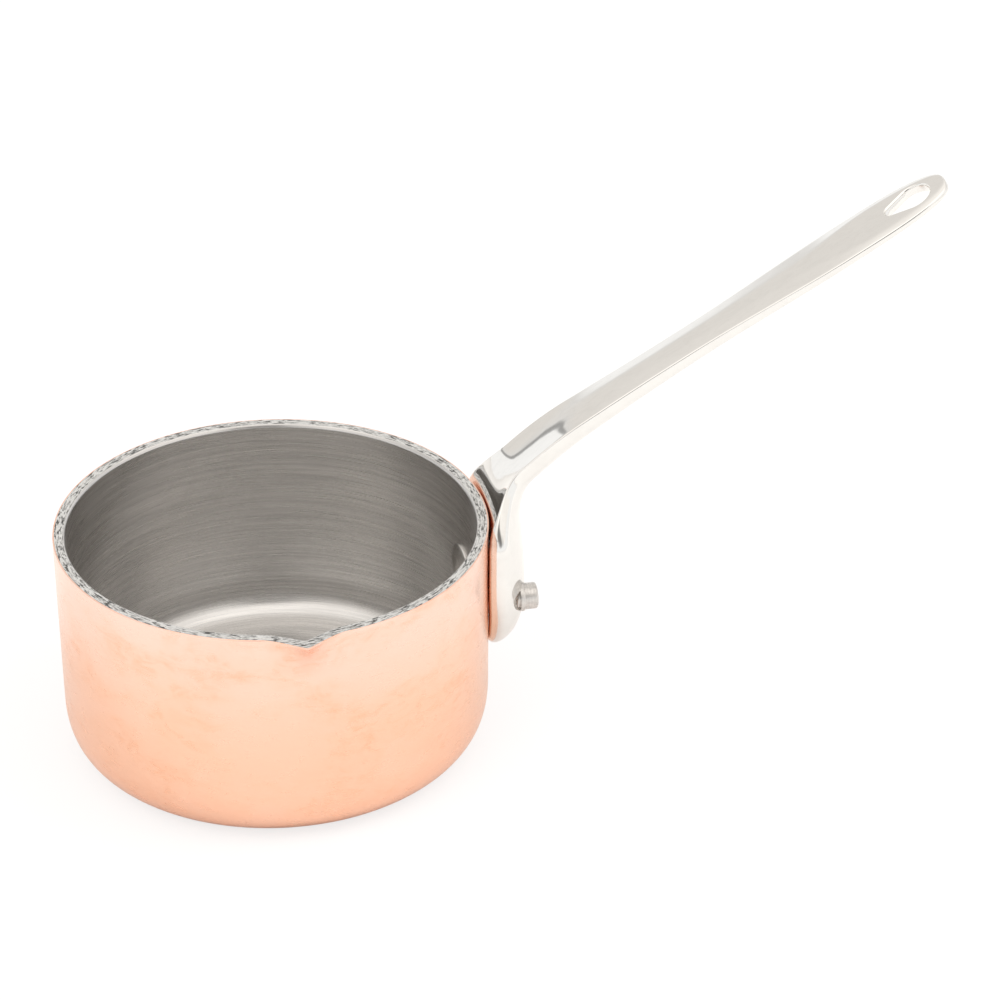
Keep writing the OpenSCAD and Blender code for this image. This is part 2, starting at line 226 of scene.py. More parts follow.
def line_at(l):
    """Point of the handle's line (x, z) and its slope in radians, for an array of lengths."""
    l = np.asarray(l, float)
    a = np.where(l < FOOT_LEN, 90.0,
                 np.where(l < NECK_END, 90 - np.degrees((l - FOOT_LEN) / NECK_R),
                          np.where(l < SWEEP_END, NECK_SLOPE - np.degrees((l - NECK_END) / SWEEP_R),
                                   STEM_SLOPE)))
    s, s1, s2 = np.radians(a), math.radians(NECK_SLOPE), math.radians(STEM_SLOPE)
    nx, nz = FOOT_X + NECK_R * (1 - math.sin(s1)), NECK_Z + NECK_R * math.cos(s1)
    wx = nx + SWEEP_R * (math.sin(s1) - math.sin(s2))
    wz = nz + SWEEP_R * (math.cos(s2) - math.cos(s1))
    x = np.where(l < FOOT_LEN, FOOT_X - (FOOT_LEN - l) * FOOT_LEAN,
                 np.where(l < NECK_END, FOOT_X + NECK_R * (1 - np.sin(s)),
                          np.where(l < SWEEP_END, nx + SWEEP_R * (math.sin(s1) - np.sin(s)),
                                   wx + (l - SWEEP_END) * math.cos(s2))))
    z = np.where(l < FOOT_LEN, FOOT_Z + l,
                 np.where(l < NECK_END, NECK_Z + NECK_R * np.cos(s),
                          np.where(l < SWEEP_END, nz + SWEEP_R * (np.cos(s) - math.cos(s1)),
                                   wz + (l - SWEEP_END) * math.sin(s2))))
    return x, z, s


def half_at(l):
    """Half of the handle's width. Its round ends close a hair earlier than the CAD's small end faces."""
    near = END_CUT - 0.002
    f = np.clip(1 - (l - near) / FOOT_ROUND, 0, 1)
    t = np.clip(1 - (LINE_END - near - l) / TIP_ROUND, 0, 1)
    ends = np.sqrt(1 - f * f) * (1 - t ** 2.6) ** (1 / 3)
    waist = mix(NECK_HALF, WAIST_HALF, blend(l, WAIST_FROM, WAIST_TO))
    stem = mix(waist, EYE_HALF, blend(l, FLARE_FROM, FLARE_TO))
    return ends * mix(FOOT_HALF, stem, blend(l, NARROW_FROM, NARROW_TO))


def crown_at(l):
    """Height of the top face's middle above its edges."""
    return CROWN * blend(l, CROWN_FROM, CROWN_TO)


def dish_at(l):
    """Depth of the hollow in the neck's upper face."""
    return NECK_DISH * blend(l, DISH_FROM, DISH_FULL) * (1 - blend(l, DISH_FADE, DISH_TO))


def strip_at(l):
    """Half of the flat part of the top face."""
    share = mix(FLAT_FOOT, STRIP_HALF / WAIST_HALF, blend(l, FLAT_FROM, FLAT_TO))
    return half_at(l) * mix(share, FLAT_TIP, blend(l, FLAT_WIDEN, FLAT_WIDE))


def side_at(l):
    """Height of the side face."""
    foot = mix(FOOT_EDGE_T, SIDE_NECK_T, blend(l, FOOT_LEN, SIDE_FULL))
    stem = mix(SIDE_NECK_T, SIDE_TIP_T, (l - SIDE_FULL) / (LINE_END - SIDE_FULL))
    return np.where(l < SIDE_FULL, foot, stem)


def thick_at(l):
    """Thickness along the middle."""
    f = np.clip(1 - l / FOOT_RISE, 0, 1)
    foot = mix(FOOT_EDGE_T + 0.2, FOOT_MID_T, np.sqrt(1 - f * f))
    stem = mix(STEM_NECK_T, STEM_TIP_T, np.clip((l - THIN_TO) / THIN_RUN, 0, 1))
    return mix(foot, stem, blend(l, THIN_FROM, THIN_TO))


def fit_share(l):
    """How closely the inner face follows the wall: fully at the foot, and not at all in the neck."""
    return 1 - blend(l, LEAVE_FROM, LEAVE_TO)


def fit_at(l, y):
    """How far the inner face reaches back to the round wall, beside the line."""
    r = line_at(l)[0]
    return fit_share(l) * (r - np.sqrt(r * r - y * y))


def top_depth(l, y):
    """Depth of the handle's top (inner) face below its line: the crown stands above its edges."""
    h, s, d = half_at(l), strip_at(l), crown_at(l)
    x = np.abs(y) - s
    ramp = 0.5 * (x + np.sqrt(x * x + FLAT_SOFT * FLAT_SOFT))
    rest = 0.5 * (np.sqrt(s * s + FLAT_SOFT * FLAT_SOFT) - s)
    roof = d * np.maximum(ramp - rest, 0) / np.maximum(h - s, 0.3) - d
    hollow = dish_at(l) * (1 - np.clip(np.abs(y) / np.maximum(h, 1e-6), 0, 1) ** 2)
    return roof + hollow - fit_at(l, y)


def under_depth(l, y):
    """Depth of the handle's lower (outer) face below its line."""
    h = np.maximum(half_at(l), 1e-6)
    e = side_at(l)
    t = np.maximum(thick_at(l) - crown_at(l), e + 0.15)
    return mix(t, e, np.clip(np.abs(y) / h, 0, 1) ** DOME_POWER)


# ---------------------------------------------------------------- node helpers
class Nodes:
    """Short calls that build a node tree. Scales of noise are in cells per metre."""

    def __init__(self, tree):
        self.tree = tree

    def add(self, kind, **values):
        node = self.tree.nodes.new(kind)
        for key, value in values.items():
            setattr(node, key, value)
        return node

    def link(self, a, b):
        self.tree.links.new(a, b)

    def put(self, socket, value):
        if isinstance(value, bpy.types.NodeSocket):
            self.link(value, socket)
        else:
            socket.default_value = value

    def math(self, op, a, b=None, clamp=False):
        node = self.add("ShaderNodeMath", operation=op, use_clamp=clamp)
        self.put(node.inputs[0], a)
        if b is not None:
            self.put(node.inputs[1], b)
        return node.outputs[0]

    def times(self, value, *others):
        for other in others:
            value = self.math("MULTIPLY", value, other)
        return value

    def reach(self, a, b):
        """Distance of the point (a, b) from the origin."""
        return self.math("SQRT", self.math("ADD", self.math("MULTIPLY", a, a), self.math("MULTIPLY", b, b)))

    def place(self):
        return self.add("ShaderNodeTexCoord").outputs["Object"]

    def split(self, vector):
        node = self.add("ShaderNodeSeparateXYZ")
        self.link(vector, node.inputs[0])
        return node.outputs

    def join(self, x, y, z):
        node = self.add("ShaderNodeCombineXYZ")
        for socket, value in zip(node.inputs, (x, y, z)):
            self.put(socket, value)
        return node.outputs[0]

    def stretched(self, x, y, z, by_x, by_y, by_z):
        """A vector of three values, each times its own factor."""
        return self.join(self.math("MULTIPLY", x, by_x), self.math("MULTIPLY", y, by_y),
                         self.math("MULTIPLY", z, by_z))

    def scaled(self, vector, scale, turn=(0, 0, 0)):
        node = self.add("ShaderNodeMapping")
        self.link(vector, node.inputs["Vector"])
        node.inputs["Scale"].default_value = scale
        node.inputs["Rotation"].default_value = [math.radians(t) for t in turn]
        return node.outputs[0]

    def noise(self, vector, scale, detail, rough, distort=0.0):
        node = self.add("ShaderNodeTexNoise")
        self.link(vector, node.inputs["Vector"])
        node.inputs["Scale"].default_value = scale
        node.inputs["Detail"].default_value = detail
        node.inputs["Roughness"].default_value = rough
        node.inputs["Distortion"].default_value = distort
        return node.outputs["Fac"]

    def span(self, value, low, high, to_low=0.0, to_high=1.0):
        """A smooth change from to_low to to_high as value goes from low to high."""
        node = self.add("ShaderNodeMapRange", interpolation_type="SMOOTHSTEP")
        self.put(node.inputs["Value"], value)
        limits = {"From Min": low, "From Max": high, "To Min": to_low, "To Max": to_high}
        for key, number in limits.items():
            node.inputs[key].default_value = number
        return node.outputs["Result"]

    def mix(self, factor, a, b):
        node = self.add("ShaderNodeMix", data_type="RGBA")
        self.put(node.inputs[0], factor)
        for socket, value in ((node.inputs[6], a), (node.inputs[7], b)):
            self.put(socket, value if isinstance(value, bpy.types.NodeSocket) else (*value, 1.0))
        return node.outputs[2]

    def bump(self, height, strength, distance, normal=None):
        node = self.add("ShaderNodeBump")
        node.inputs["Strength"].default_value = strength
        node.inputs["Distance"].default_value = distance
        self.link(height, node.inputs["Height"])
        if normal is not None:
            self.link(normal, node.inputs["Normal"])
        return node.outputs[0]


class Finish(Nodes):
    """The node tree of a new material with one Principled shader."""

    def __init__(self, name):
        self.material = bpy.data.materials.new(name)
        self.material.use_nodes = True
        super().__init__(self.material.node_tree)
        self.tree.nodes.clear()
        self.out = self.add("ShaderNodeOutputMaterial")
        self.shader = self.add("ShaderNodeBsdfPrincipled")
        self.link(self.shader.outputs[0], self.out.inputs["Surface"])

    def set(self, **values):
        """Sets the shader's own sockets, by a link where the value is a node's output."""
        for key, value in values.items():
            self.put(self.shader.inputs[key.replace("_", " ")], value)


def copper_material():
    """Polished copper with a painted reflection: paler up the wall and darker, more orange towards the
    base; with faint tarnish clouds, wipe marks and hairlines.
    """
    n = Finish("polished_copper")
    p = n.place()
    clouds = n.noise(n.scaled(p, (1, 1, 1.6)), 55, 5, 0.6, 0.6)
    patches = n.noise(n.scaled(p, (1.2, 1.2, 2.4)), 140, 6, 0.65, 1.2)
    wipes = n.noise(n.scaled(p, (260, 260, 1500), (12, 8, 0)), 1.0, 5, 0.6, 0.5)
    lines = n.noise(n.scaled(p, (180, 180, 5200)), 1.0, 3, 0.6)
    tarnish = n.math("MULTIPLY", n.span(clouds, 0.42, 0.72), n.span(patches, 0.38, 0.68))
    z = n.split(p)[2]
    # Painted reflection: the colour is paler up the wall and darker, more orange towards the base, standing
    # in for the shaded floor near the pan that the lower wall mirrors; the clouds vary it a little at
    # random
    height = n.math("ADD", n.span(z, 0.020, 0.055), n.span(clouds, 0.35, 0.7, 0.12, -0.18), clamp=True)
    colour = n.mix(height, (0.955, 0.595, 0.435), (0.965, 0.68, 0.575))
    colour = n.mix(n.math("MULTIPLY", tarnish, 0.55), colour, (0.88, 0.47, 0.29))
    colour = n.mix(n.span(wipes, 0.55, 0.8, 0, 0.16), colour, (0.86, 0.50, 0.34))
    rough = n.math("ADD", n.span(patches, 0.3, 0.75, 0.17, 0.27), n.span(wipes, 0.4, 0.8, 0, 0.09))
    normal = n.bump(clouds, 0.10, 0.0006, n.bump(lines, 0.05, 0.0001))
    n.set(Base_Color=colour, Roughness=rough, Normal=normal, Metallic=1.0)
    return n.material


def core_material():
    """Aluminium ground at the rim: short dark streaks that follow the rim, worn bright in between."""
    n = Finish("ground_aluminium")
    p = n.place()
    x, y = n.split(p)[:2]
    r = n.reach(x, y)
    dx, dy = n.math("DIVIDE", x, r), n.math("DIVIDE", y, r)
    streaks = n.noise(n.stretched(dx, dy, r, 26, 26, 3400), 1.0, 3, 0.6, 0.2)
    fine = n.noise(n.stretched(dx, dy, r, 90, 90, 11000), 1.0, 4, 0.6)
    blots = n.noise(p, 420, 4, 0.6)
    dark = n.math("MULTIPLY", n.span(streaks, 0.48, 0.56), n.span(blots, 0.36, 0.54, 0.35, 1.0))
    colour = n.mix(n.span(fine, 0.3, 0.7), (0.86, 0.86, 0.85), (0.60, 0.60, 0.59))
    colour = n.mix(n.math("MULTIPLY", dark, 0.92), colour, (0.04, 0.04, 0.038))
    rough = n.span(fine, 0.2, 0.8, 0.30, 0.55)
    height = n.math("SUBTRACT", fine, n.math("MULTIPLY", dark, 1.4))
    n.set(Base_Color=colour, Roughness=rough, Normal=n.bump(height, 0.35, 0.00012), Metallic=0.85)
    return n.material


def lining_material():
    """Stainless lining brushed round the pan, up the wall and in circles on the floor."""
    n = Finish("brushed_lining")
    p = n.place()
    x, y, z = n.split(p)
    r = n.reach(x, y)
    across = n.math("ADD", z, r)
    fine = n.noise(n.stretched(x, y, across, 60, 60, 7000), 1.0, 3, 0.6)
    broad = n.noise(n.stretched(x, y, across, 25, 25, 1400), 1.0, 4, 0.6)
    smear = n.noise(p, 60, 3, 0.5)
    colour = n.mix(n.span(broad, 0.3, 0.7), (0.73, 0.715, 0.70), (0.60, 0.59, 0.58))
    colour = n.mix(n.span(fine, 0.5, 0.8, 0, 0.35), colour, (0.42, 0.41, 0.40))
    rough = n.math("ADD", n.span(fine, 0.3, 0.7, 0.20, 0.32), n.span(smear, 0.3, 0.7, 0, 0.06))
    normal = n.bump(broad, 0.08, 0.0002, n.bump(fine, 0.22, 0.00008))
    n.set(Base_Color=colour, Roughness=rough, Normal=normal, Metallic=1.0)
    return n.material


def cast_material():
    """Mirror-polished cast steel: very smooth, with the slight waves that polishing leaves."""
    n = Finish("polished_cast_steel")
    p = n.place()
    waves = n.noise(p, 110, 3, 0.5, 0.3)
    smudge = n.noise(n.scaled(p, (1, 2, 1.4)), 260, 5, 0.6, 0.8)
    hair = n.noise(n.scaled(p, (500, 3800, 900), (0, 31, 0)), 1.0, 3, 0.6)
    colour = n.mix(n.span(smudge, 0.35, 0.75), (0.84, 0.83, 0.81), (0.81, 0.80, 0.78))
    rough = n.math("ADD", n.span(smudge, 0.35, 0.8, 0.05, 0.09), n.span(hair, 0.6, 0.85, 0, 0.03))
    normal = n.bump(hair, 0.015, 0.00004, n.bump(waves, 0.05, 0.0004))
    n.set(Base_Color=colour, Roughness=rough, Normal=normal, Metallic=1.0)
    return n.material


def turned_material():
    """Satin turned steel of the rivets: fine circles round each rivet's own axis, dulled at the edge."""
    n = Finish("turned_rivet_steel")
    p = n.place()
    x, y, z = n.split(p)
    ay = n.math("SUBTRACT", n.math("ABSOLUTE", y), RIVET_GAP / 2 * MM)
    az = n.math("SUBTRACT", z, RIVET_Z * MM)
    r = n.reach(ay, az)
    rings = n.noise(n.stretched(r, x, y, 6500, 6500, 90), 1.0, 3, 0.6)
    spots = n.noise(p, 700, 4, 0.6)
    colour = n.mix(n.span(rings, 0.3, 0.7), (0.70, 0.675, 0.65), (0.56, 0.54, 0.52))
    colour = n.mix(n.span(spots, 0.52, 0.75, 0, 0.5), colour, (0.36, 0.34, 0.33))
    rough = n.span(rings, 0.2, 0.8, 0.24, 0.40)
    n.set(Base_Color=colour, Roughness=rough, Normal=n.bump(rings, 0.18, 0.00006), Metallic=1.0)
    return n.material


COPPER, CORE, LINING = copper_material(), core_material(), lining_material()
CAST, TURNED = cast_material(), turned_material()

# ---------------------------------------------------------------- pan body
# Angles round the pan from the lip's middle: close together in the lip, then one to a degree
LIP_COLUMNS = 44
lip_steps = np.arange(-LIP_COLUMNS, LIP_COLUMNS + 1)
ANGLES = np.concatenate([LIP_HALF * np.sign(lip_steps) * (np.abs(lip_steps) / LIP_COLUMNS) ** 1.35,
                         np.arange(LIP_HALF + 1.0, 360 - LIP_HALF - 0.5, 1.0)])
# Rings up the plain wall, and up the part that holds the lip, which starts a little below it
WALL_RINGS, LIP_RINGS, LIP_BELOW = 14, 30, 2.0
# The wall's own rings stop this far below the rim's edge
EDGE_CLEAR = 0.02
# Rings of the flat floor discs, as shares of the flat's radius
DISC_RINGS = (0.9, 0.75, 0.55, 0.35, 0.15)


def turned_layer(name, a, b, material, edge):
    """One clad layer between depths a and b, closed over its rim edge, with the drawn lip.
    edge is a list of (distance below the rim, depth, extra move inwards) from the outside in."""
    low = LIP_H + LIP_BELOW
    heights = np.concatenate([np.linspace(CORNER_H, PAN_H - low, WALL_RINGS)[1:],
                              PAN_H - low + low * np.linspace(0, 1, LIP_RINGS)[1:-1] ** 0.9])
    outer = [(z, a, 0.0) for z in heights if PAN_H - z > edge[0][0] + EDGE_CLEAR]
    inner = [(z, b, 0.0) for z in heights[::-1] if PAN_H - z > edge[-1][0] + EDGE_CLEAR]
    z, off, extra = np.array(outer + [(PAN_H - d, off, extra) for d, off, extra in edge] + inner).T
    low_out, low_in = corner_points(a), corner_points(b)[::-1]
    rows = []
    for angle in ANGLES:
        r = wall_at(z, off) - extra + lip_shift(off, angle, z)
        s, c = math.sin(math.radians(angle)), math.cos(math.radians(angle))
        full_r = np.concatenate([low_out[:, 0], r, low_in[:, 0]])
        full_z = np.concatenate([low_out[:, 1], z, low_in[:, 1]])
        rows.append(np.stack([full_r * s, -full_r * c, full_z], 1))
    # The floor discs carry each row on to the axis at both of its ends
    rings = []
    for row in rows:
        start = [row[0] * (q, q, 1) for q in DISC_RINGS[::-1]]
        end = [row[-1] * (q, q, 1) for q in DISC_RINGS]
        rings.append(np.concatenate([start, row, end]))
    m, count = len(rings[0]), len(rings)
    points = np.concatenate(rings)
    faces = ring_faces(count, m, closed_ring=False, closed_loop=True)
    base, top = len(points), len(points) + 1
    points = np.concatenate([points, [[0, 0, a], [0, 0, b]]])
    for i in range(count):
        j = (i + 1) % count
        faces.append((i * m, j * m, base))
        faces.append((j * m + m - 1, i * m + m - 1, top))
    return add_mesh(name, points, faces, material, PAN_SHARP)


# Both rivets stand along +X, at this side of the handle's middle plane
SIDES = {"near": -1, "far": 1}
# Where the cutters of the rivet holes start and end, and the steps round a hole and a turned piece
HOLE_FROM, HOLE_TO = 20, 62
HOLE_STEPS, TURN_STEPS = 64, 96


def along_rivet(side):
    """Places local (x, y, height) points with the height along a rivet's axis."""
    def place(v):
        return np.stack([v[:, 2], side * RIVET_GAP / 2 + v[:, 0], RIVET_Z + v[:, 1]], 1)
    return place


def rivet_holes():
    """Cutters for the two shanks' clearance holes, through everything on the +X side."""
    r = SHANK_R + SHANK_GAP
    profile = [(0, HOLE_FROM), (r, HOLE_FROM), (r, HOLE_TO), (0, HOLE_TO)]
    return [lathe("hole", profile, HOLE_STEPS, along_rivet(side), TURNED) for side in SIDES.values()]


# The copper's upper edge is slightly rounded, the core's is flat, and the lining's is a worn bevel
copper_edge = [(0.16, 0.0, 0.0), (0.10, 0.0, 0.02), (0.05, 0.0, 0.055), (0.015, 0.0, 0.10),
               (0.0, 0.0, 0.16), (0.0, CORE_OFF, 0.0)]
core_edge = [(0.0, mix(CORE_OFF, LINING_OFF, share), 0.0) for share in (0, 0.33, 0.66, 1)]
lining_edge = [(0.0, LINING_OFF, 0.0), (0.0, INNER_OFF, -BEVEL_W), (0.05, INNER_OFF, -BEVEL_W + 0.07),
               (0.5 * BEVEL_H, INNER_OFF, -0.5 * BEVEL_W + 0.03), (BEVEL_H - 0.08, INNER_OFF, -0.05),
               (BEVEL_H + 0.06, INNER_OFF, 0.0)]
copper = turned_layer("pan_copper", 0.0, CORE_OFF, COPPER, copper_edge)
core = turned_layer("pan_core", CORE_OFF, LINING_OFF, CORE, core_edge)
lining = turned_layer("pan_lining", LINING_OFF, INNER_OFF, LINING, lining_edge)
for piece in (copper, core, lining):
    cut(piece, rivet_holes(), PAN_SHARP)
hand_over(copper, "copper_shell")
hand_over(core, "aluminium_core")
hand_over(lining, "steel_lining")

# ---------------------------------------------------------------- handle
# Rings along the handle: round foot, bend, stem and round tip
FOOT_RINGS, BEND_RINGS, STEM_RINGS, TIP_RINGS = 44, 109, 119, 60
# Points across half of the top face and half of the under face, and along each rounded edge
TOP_POINTS, UNDER_POINTS, EDGE_POINTS = 18, 24, 6
# Rounding of the stem's upper and lower edges: a radius, or a share of the side face if that is less
TOP_ROUND, TOP_SHARE = 0.34, 0.30
LOW_ROUND, LOW_SHARE = 0.60, 0.36
# Points round the wide and the small end of the eye
WIDE_POINTS, SMALL_POINTS = 59, 36


def solid_point(l, y, w):
    """Row-frame point at a length along the handle, y beside its line and w below it."""
    x, z, s = line_at(l)
    return np.stack([x + w * np.sin(s), y, z - w * np.cos(s)], -1)


def build_handle():
    """The cast handle as one skin of rings: top face, rounded edge, side face, rounded edge, under face."""
    def eased(n):
        return 1 - np.cos(np.radians(90 * np.arange(n) / n))
    l = np.unique(np.concatenate([
        END_CUT + (FOOT_ROUND - END_CUT) * eased(FOOT_RINGS),
        np.linspace(FOOT_ROUND, SWEEP_END, BEND_RINGS, endpoint=False),
        np.linspace(SWEEP_END, LINE_END - TIP_ROUND, STEM_RINGS, endpoint=False),
        [LINE_END - TIP_ROUND],
        LINE_END - END_CUT - (TIP_ROUND - END_CUT) * eased(TIP_RINGS)]))
    h = half_at(l)
    # Inward normal of the plan outline at each ring
    dl, dh = np.gradient(l), np.gradient(h)
    length = np.hypot(dl, dh)
    nl, ny = dh / length, -dl / length
    side = side_at(l)
    foot_round = np.minimum(EDGE_ROUND, fit_at(l, h) + SIDE_SHARE * side)
    r1 = mix(np.minimum(TOP_ROUND, TOP_SHARE * side), foot_round, fit_share(l))
    r2 = np.minimum(LOW_ROUND, LOW_SHARE * side)
    columns = []
    phis = np.radians(np.linspace(0, 90, EDGE_POINTS))
    inner = h + ny * r1
    for q in np.linspace(0, 1, TOP_POINTS, endpoint=False):
        y = np.maximum(inner, 0) * q
        ll = l + nl * r1
        columns.append((ll, y, top_depth(ll, y)))
    for phi in phis:
        delta = r1 * (1 - np.sin(phi))
        ll, y = l + nl * delta, np.maximum(h + ny * delta, 0)
        columns.append((ll, y, top_depth(ll, y) + r1 * (1 - np.cos(phi))))
    # Two points down the side face, between the rounded edges
    top_edge, low_edge = top_depth(l, h) + r1, under_depth(l, h) - r2
    for q in (0.33, 0.67):
        columns.append((l, h, mix(top_edge, low_edge, q)))
    for phi in phis:
        delta = r2 * (1 - np.cos(phi))
        ll, y = l + nl * delta, np.maximum(h + ny * delta, 0)
        columns.append((ll, y, under_depth(ll, y) - r2 * (1 - np.sin(phi))))
    inner = h + ny * r2
    for q in np.linspace(1, 0, UNDER_POINTS + 1)[1:]:
        y = np.maximum(inner, 0) * np.sin(q * math.pi / 2)
        ll = l + nl * r2
        columns.append((ll, y, under_depth(ll, y)))
    half = [solid_point(*c) for c in columns]
    rings = np.stack(half + [p * (1, -1, 1) for p in half[-2:0:-1]], 1)
    count, m = rings.shape[:2]
    points = rings.reshape(-1, 3)
    return add_mesh("handle_cast", points, closed_skin(count, m), CAST)


def egg(grow):
    """Outline of the eye, as (along the stem, sideways), with the wide end about the origin."""
    lean = math.asin((EYE_R - EYE_SMALL_R) / EYE_LEN)
    big, small = EYE_R + grow, EYE_SMALL_R + grow
    pts = []
    for t in np.linspace(-(math.pi / 2 + lean), math.pi / 2 + lean, WIDE_POINTS):
        pts.append((big * math.cos(t), big * math.sin(t)))
    for t in np.linspace(math.pi / 2 + lean, 1.5 * math.pi - lean, SMALL_POINTS):
        pts.append((-EYE_LEN + small * math.cos(t), small * math.sin(t)))
    return np.array(pts)


def eye_cutter():
    """The eye's straight hole, flared where it meets the top and the under face."""
    top = CROWN
    low = top - float(thick_at(np.array([LINE_END - EYE_FROM_TIP]))[0])
    # (height above the handle's line, how far the outline grows there), from above to below
    levels = [(top + 3.0, 3.5), (top + 0.10, 0.46), (top - 0.04, 0.28), (top - 0.16, 0.14),
              (top - 0.30, 0.05), (top - 0.48, 0.0), (low + 0.5, 0.0), (low + 0.3, 0.06),
              (low + 0.1, 0.24), (low - 0.12, 0.5), (low - 3.0, 3.4)]
    x, z, s = (float(v) for v in line_at(LINE_END - EYE_FROM_TIP))
    rows = []
    for up, grow in levels:
        outline = egg(grow)
        rows.append(np.stack([x + outline[:, 0] * math.cos(s) - up * math.sin(s), outline[:, 1],
                              z + outline[:, 0] * math.sin(s) + up * math.cos(s)], 1))
    return add_mesh("eye_cut", np.concatenate(rows), closed_skin(len(rows), len(rows[0])), CAST)


def seat_cutters():
    """Flat seats sunk into the foot's dome for the collars, with a rounded inner corner."""
    r = COLLAR_R + SEAT_GAP
    profile = [(0, SEAT_X), (r - 0.25, SEAT_X), (r - 0.07, SEAT_X + 0.07), (r, SEAT_X + 0.25),
               (r, HOLE_TO), (0, HOLE_TO)]
    return [lathe("seat", profile, TURN_STEPS, along_rivet(side), CAST) for side in SIDES.values()]


handle = build_handle()
cut(handle, [eye_cutter(), *seat_cutters(), *rivet_holes()], HANDLE_SHARP)
hand_over(handle, "handle")

# ---------------------------------------------------------------- rivets and collars
# A head's points at this local height are moved onto the lining
ON_LINING = 3.0
# The shank's mesh starts this far inside the head
HEAD_OVERLAP = 0.4
COLLAR_GAP, COLLAR_CHAMFER = 0.02, 0.18


def rivet(name, side):
    """A rivet: a shank with a turned outer end, and a low domed head inside the pan."""
    wall = wall_at(RIVET_Z, INNER_OFF)
    turn = math.asin(side * RIVET_GAP / 2 / wall)

    def on_lining(v):
        """The head stands square to the lining, and its lower edge follows the lining's curve."""
        z = RIVET_Z + v[:, 1]
        inner = np.sqrt(wall_at(z, INNER_OFF) ** 2 - v[:, 0] ** 2)
        x = np.where(v[:, 2] >= ON_LINING, inner, wall - HEAD_H + v[:, 2])
        c, s = math.cos(turn), math.sin(turn)
        return np.stack([x * c - v[:, 0] * s, x * s + v[:, 0] * c, z], 1)

    dome_r = (HEAD_R ** 2 + HEAD_DOME ** 2) / (2 * HEAD_DOME)
    profile = [(dome_r * math.sin(t), dome_r * (1 - math.cos(t)))
               for t in np.linspace(0, math.asin((HEAD_R - 0.18) / dome_r), 14)]
    edge = profile[-1][1]
    profile += [(HEAD_R - 0.10, edge + 0.05), (HEAD_R - 0.03, edge + 0.13), (HEAD_R, edge + 0.24),
                (HEAD_R, ON_LINING), (HEAD_R - 1.0, ON_LINING), (0, ON_LINING)]
    head = lathe("rivet_%s_head" % name, profile, TURN_STEPS, on_lining, TURNED)

    start, collar_top = wall * math.cos(turn) - HEAD_OVERLAP, SEAT_X + COLLAR_T
    profile = [(0, start), (SHANK_R, start), (SHANK_R, collar_top), (END_R - 0.06, collar_top),
               (END_R, collar_top + 0.06)]
    profile += [(END_R - END_ROUND * (1 - math.cos(t)), END_X - END_ROUND * (1 - math.sin(t)))
                for t in np.linspace(0, math.pi / 2, 8)]
    # The turned end is very slightly hollow, with a small mark in its middle
    profile += [(1.4, END_X - 0.01), (0.35, END_X - 0.02), (0.2, END_X - 0.06), (0, END_X - 0.07)]
    shank = lathe("rivet_%s_turned" % name, profile, TURN_STEPS, along_rivet(side), TURNED)
    bpy.ops.object.select_all(action="DESELECT")
    shank.select_set(True)
    head.select_set(True)
    bpy.context.view_layer.objects.active = shank
    bpy.ops.object.join()
    bpy.ops.object.select_all(action="DESELECT")
    return shank


def collar(name, side):
    """The thin ring round a rivet's outer end, with a softened outer edge."""
    r, c = SHANK_R + COLLAR_GAP, COLLAR_CHAMFER
    loop = [(r, 0.0), (COLLAR_R, 0.0), (COLLAR_R, COLLAR_T - c), (COLLAR_R - 0.3 * c, COLLAR_T - 0.3 * c),
            (COLLAR_R - c, COLLAR_T), (r, COLLAR_T)]
    turns = np.linspace(0, 2 * math.pi, TURN_STEPS, endpoint=False)
    points = along_rivet(side)(np.array([(r * math.cos(t), r * math.sin(t), SEAT_X + h)
                                         for t in turns for r, h in loop]))
    faces = ring_faces(TURN_STEPS, len(loop), closed_loop=True)
    return add_mesh("collar_%s_ring" % name, points, faces, TURNED, TURNED_SHARP)


for name, side in SIDES.items():
    hand_over(rivet(name, side), "rivet_" + name)
    hand_over(collar(name, side), "collar_" + name)

# ---------------------------------------------------------------- floor, light and camera
# Half of the floor's width in mm, and how far in metres it lies below the base
FLOOR_HALF, FLOOR_DROP = 4000, 0.00002
# To the camera, the floor is partly a plain light of this strength, so it goes over into the white
FLOOR_LIGHT, LIGHT_SHARE = 1.05, 0.72

n = Finish("studio_floor")
grain = n.noise(n.place(), 6, 3, 0.5)
n.set(Base_Color=n.mix(n.span(grain, 0.3, 0.7), (0.86, 0.86, 0.86), (0.83, 0.83, 0.83)), Roughness=0.9)
glow = n.add("ShaderNodeEmission")
glow.inputs["Strength"].default_value = FLOOR_LIGHT
seen = n.add("ShaderNodeLightPath").outputs["Is Camera Ray"]
blend = n.add("ShaderNodeMixShader")
n.link(n.times(seen, LIGHT_SHARE), blend.inputs[0])
n.link(n.shader.outputs[0], blend.inputs[1])
n.link(glow.outputs[0], blend.inputs[2])
n.link(blend.outputs[0], n.out.inputs["Surface"])
corners = [(-FLOOR_HALF, -FLOOR_HALF, 0), (FLOOR_HALF, -FLOOR_HALF, 0),
           (FLOOR_HALF, FLOOR_HALF, 0), (-FLOOR_HALF, FLOOR_HALF, 0)]
floor = add_mesh("floor", corners, [(0, 1, 2, 3)], n.material)
floor.location.z = cad_box[0].z - FLOOR_DROP

world = bpy.data.worlds.new("studio")
world.use_nodes = True
w = Nodes(world.node_tree)
direction = w.add("ShaderNodeTexCoord").outputs["Generated"]
east, north, up = w.split(direction)


def around(middle, inner, outer, low, high):
    """A soft round patch of the surroundings: high inside the angle inner, low beyond outer."""
    dot = w.add("ShaderNodeVectorMath", operation="DOT_PRODUCT")
    w.link(direction, dot.inputs[0])
    dot.inputs[1].default_value = Vector(middle).normalized()
    near, far = math.cos(math.radians(inner)), math.cos(math.radians(outer))
    return w.span(dot.outputs["Value"], far, near, low, high)


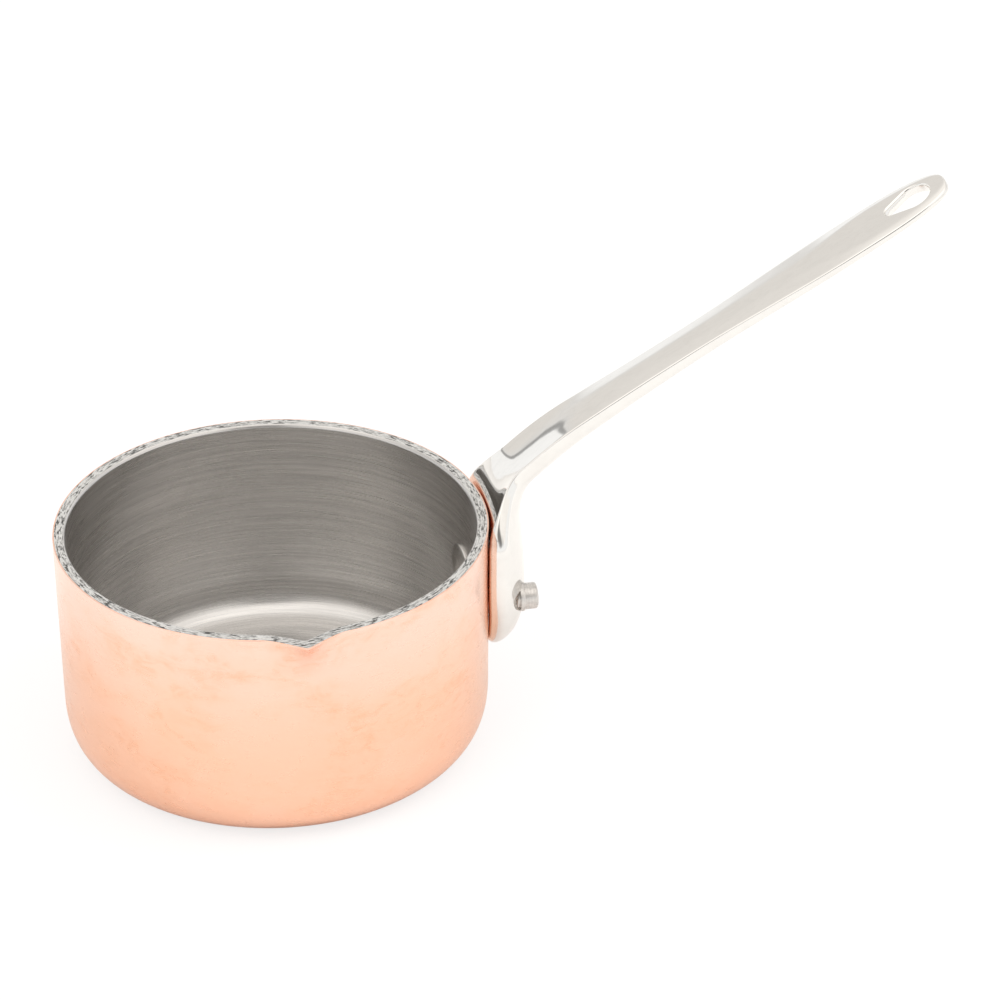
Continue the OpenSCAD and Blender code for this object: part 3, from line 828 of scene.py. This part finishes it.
# A bright sweep up to this height of a unit sphere, then a tent, which is brighter in front
SWEEP_TOP, TENT_LOW = 0.25, 0.32
SWEEP_LIGHT, TENT_FRONT, TENT_BACK = 1.08, 1.1, 0.85
tent = w.times(w.span(up, SWEEP_TOP, TENT_LOW), w.span(north, -0.3, 0.3, TENT_FRONT, TENT_BACK))
strength = w.math("ADD", w.span(up, SWEEP_TOP, TENT_LOW, SWEEP_LIGHT, 0.0), tent)
# The dark gap between the sweep and the tent, on the left only
GAP_LIGHT = 0.42
gap = w.times(w.span(up, 0.245, 0.275), w.span(up, 0.29, 0.32, 1.0, 0.0),
              w.span(east, -0.36, -0.28, 1.0, 0.0))
strength = w.times(strength, w.span(gap, 0.0, 1.0, 1.0, GAP_LIGHT))
# A dark patch where the camera stands, and a brighter top
CAMERA_LIGHT, TOP_LIGHT = 0.22, 1.35
strength = w.times(strength, around((-0.08, -0.87, 0.48), 9, 24, 1.0, CAMERA_LIGHT))
strength = w.times(strength, around((0, 0, 1), 25, 62, 1.0, TOP_LIGHT))
# The tent is slightly warmer than the sweep
colour = w.mix(w.span(up, 0.25, 0.40), (1.0, 0.995, 0.985), (1.0, 0.962, 0.915))
back = w.tree.nodes["Background"]
w.link(strength, back.inputs["Strength"])
w.link(colour, back.inputs["Color"])
scene.world = world


def area(name, place, target, size, power):
    """A round lamp that lights the object but isn't seen in its reflections."""
    data = bpy.data.lights.new(name, "AREA")
    data.shape, data.size, data.energy = "DISK", size, power
    light = bpy.data.objects.new(name, data)
    light.location = place
    light.visible_glossy = False
    light.rotation_euler = (Vector(target) - Vector(place)).to_track_quat("-Z", "Y").to_euler()
    scene.collection.objects.link(light)


area("key", (-0.9, -0.5, 1.3), (0, 0, 0.02), 1.0, 5.0)
area("fill", (1.0, -0.2, 1.1), (0, 0, 0.02), 1.0, 5.5)

# The photograph's view, solved from the rim, the walls and the base edge
camera = bpy.data.objects.new("camera", bpy.data.cameras.new("camera"))
camera.data.lens, camera.data.sensor_width = 126.69, 36.0
camera.location = (-0.0803, -0.6226, 0.4193)
camera.rotation_euler = (math.radians(90 - 30.196), 0, math.radians(-11.668))
camera.data.clip_start, camera.data.clip_end = 0.02, 30
scene.collection.objects.link(camera)
scene.camera = camera
scene.view_settings.view_transform = "Standard"
scene.view_settings.look = "None"
# Light goes back and forth many times in the narrow wedge between the foot and the wall
scene.cycles.max_bounces, scene.cycles.glossy_bounces = 32, 32
